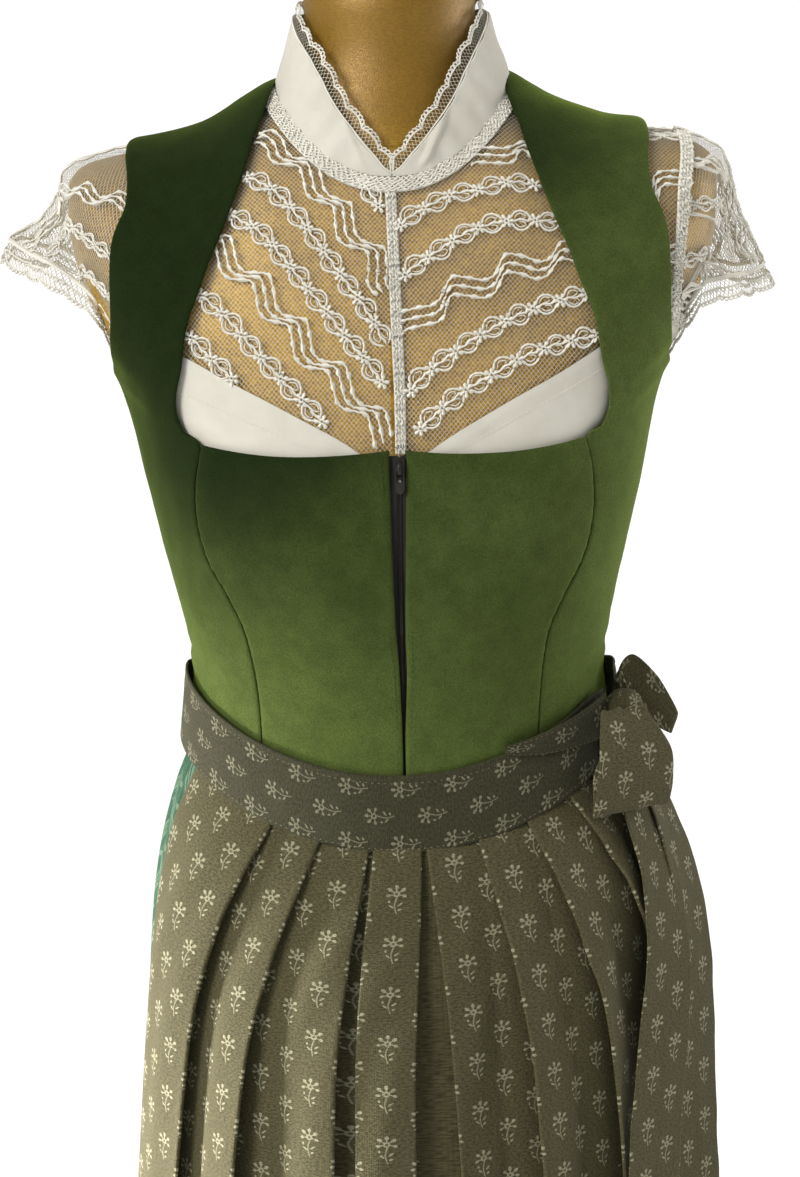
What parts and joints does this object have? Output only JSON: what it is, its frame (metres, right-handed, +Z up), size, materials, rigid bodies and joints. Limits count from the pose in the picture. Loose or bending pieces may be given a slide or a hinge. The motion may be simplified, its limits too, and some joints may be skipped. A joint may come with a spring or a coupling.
{
  "type": "dirndl dress on a dress form",
  "caption": "Knee-length dirndl on a limbless dress form: velvet bodice with front zip, gathered skirt, pleated jacquard apron tied in a side bow, and high-necked lace blouse.",
  "frame": {"origin": "middle of the foot plate's underside, on the floor", "axes": "+Z up along the pole, -Y the way the wearer faces, +X the wearer's left"},
  "size_m": [0.4741, 0.452, 1.5595],
  "materials": {
    "form_jersey": "smooth gold jersey cover",
    "steel": "satin",
    "blouse_cotton": "plain off-white cotton with a fine weave",
    "blouse_lace": "off-white corded lace on fine net",
    "bodice_velvet": "moss green velvet",
    "skirt_cloth": "dark green cloth with pale stripes",
    "apron_jacquard": "grey-brown jacquard with small silvery sprigs",
    "zip_tape": "black woven tape",
    "zip_metal": "dark satin"
  },
  "bodies": {
    "dressed_form": {"apron_band": "apron_jacquard", "apron_skirt": "apron_jacquard", "apron_tie_back": "apron_jacquard", "apron_tie_front": "apron_jacquard", "armhole_braid_left": "blouse_lace", "armhole_braid_right": "blouse_lace", "blouse_back_left": "blouse_lace", "blouse_back_right": "blouse_lace", "blouse_front_left": "blouse_cotton", "blouse_front_right": "blouse_cotton", "bodice_back_left": "bodice_velvet", "bodice_back_right": "bodice_velvet", "bodice_front_left": "bodice_velvet", "bodice_front_right": "bodice_velvet", "bodice_side_back_left": "bodice_velvet", "bodice_side_back_right": "bodice_velvet", "bodice_side_front_left": "bodice_velvet", "bodice_side_front_right": "bodice_velvet", "bow_knot": "apron_jacquard", "bow_loop_front": "apron_jacquard", "bow_loop_rear": "apron_jacquard", "bow_tail_front": "apron_jacquard", "bow_tail_rear": "apron_jacquard", "collar_lace_left": "blouse_lace", "collar_lace_right": "blouse_lace", "collar_left": "blouse_cotton", "collar_right": "blouse_cotton", "form_torso": "form_jersey", "front_strip": "blouse_lace", "neck_braid": "blouse_lace", "skirt_back": "skirt_cloth", "skirt_front": "skirt_cloth", "sleeve_edging_left": "blouse_lace", "sleeve_edging_right": "blouse_lace", "sleeve_left": "blouse_lace", "sleeve_right": "blouse_lace", "stand_foot_plate": "steel", "stand_pole": "steel", "yoke_left": "blouse_lace", "yoke_right": "blouse_lace", "zip_slider": "zip_metal", "zip_tape_left": "zip_tape", "zip_tape_right": "zip_tape"},
    "zip_pull": {"zip_pull": "zip_metal"}
  },
  "joints": [
    {"name": "zip_pull_swing", "type": "hinge", "parent": "dressed_form", "child": "zip_pull", "pos_m": [0.00292, -0.13935, 1.29261], "axis": [-1, 0, 0], "range_deg": [0, 150]}
  ]
}
